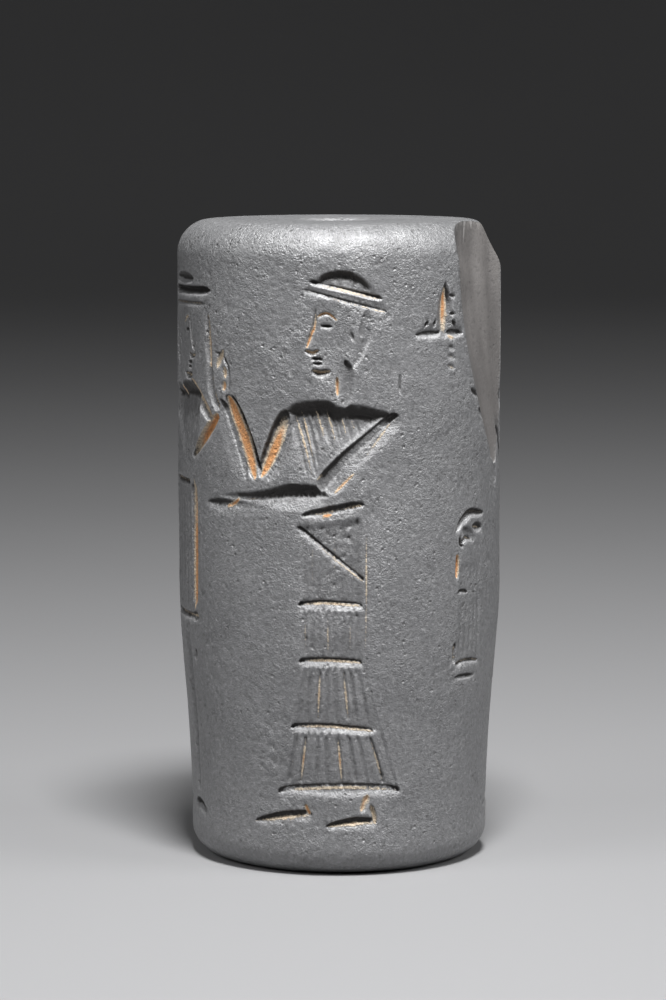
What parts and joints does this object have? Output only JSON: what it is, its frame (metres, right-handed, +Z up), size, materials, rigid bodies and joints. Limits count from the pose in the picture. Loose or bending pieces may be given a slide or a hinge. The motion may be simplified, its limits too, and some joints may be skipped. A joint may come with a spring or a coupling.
{
  "type": "cylinder seal",
  "caption": "Small pierced stone cylinder, engraved all round with robed figures, to be rolled over clay.",
  "frame": {"origin": "middle of the flat base, on the axis of the bore", "axes": "+Z up the axis, -Y towards the chief figure, which faces -X"},
  "size_m": [0.0136, 0.0136, 0.0265],
  "materials": {
    "haematite": "satin dark grey stone, with ochre earth left in the cuts"
  },
  "bodies": {
    "root": {"cylinder_seal": "haematite"}
  },
  "joints": []
}
